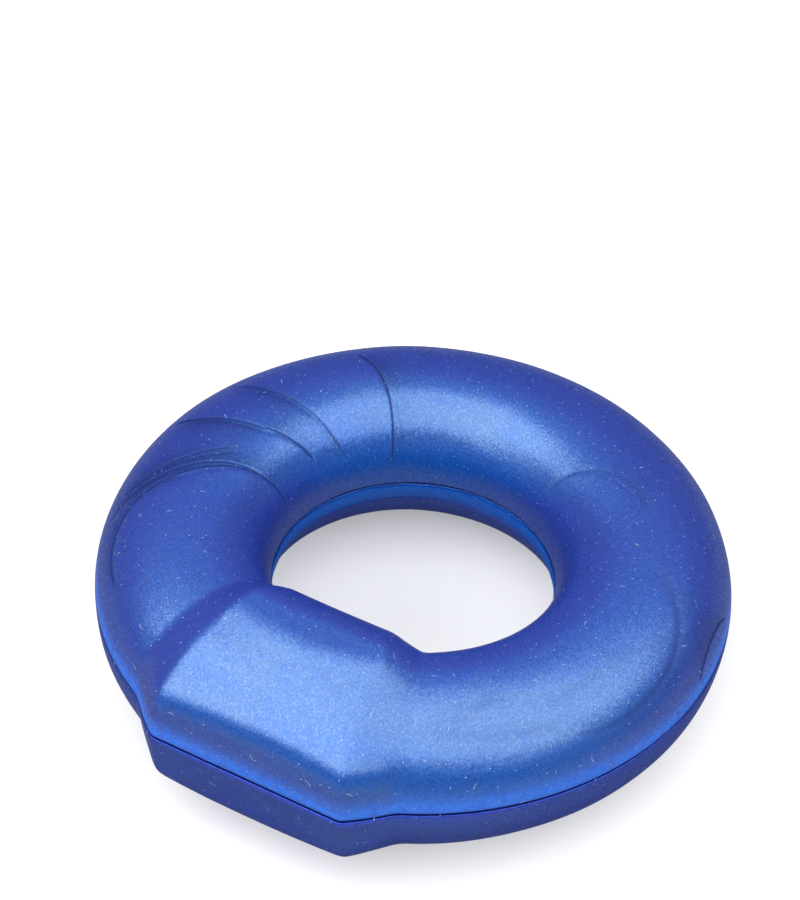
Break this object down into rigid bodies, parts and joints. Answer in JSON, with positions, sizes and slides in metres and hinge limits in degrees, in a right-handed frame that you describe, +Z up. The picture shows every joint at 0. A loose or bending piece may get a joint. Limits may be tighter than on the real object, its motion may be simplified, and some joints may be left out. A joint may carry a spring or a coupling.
{
  "type": "friction ring",
  "caption": "Soft solid elastomer ring of round section with one flat-sided grip block, split by a parting line at mid height, for gripping by friction.",
  "frame": {"origin": "centre of the ring, at the mid height of its section", "axes": "+Z up along the ring's axis; -Y out through the middle of the grip block; the YZ plane is a plane of symmetry"},
  "size_m": [0.066, 0.0663, 0.0218],
  "materials": {
    "pearl_elastomer": "satin, pearlescent blue with fine flake, faint flow lines, slightly tacky",
    "bond_elastomer": "smooth, dark translucent blue"
  },
  "bodies": {
    "root": {"upper_half": "pearl_elastomer", "lower_half": "pearl_elastomer", "bond_film": "bond_elastomer"}
  },
  "joints": []
}
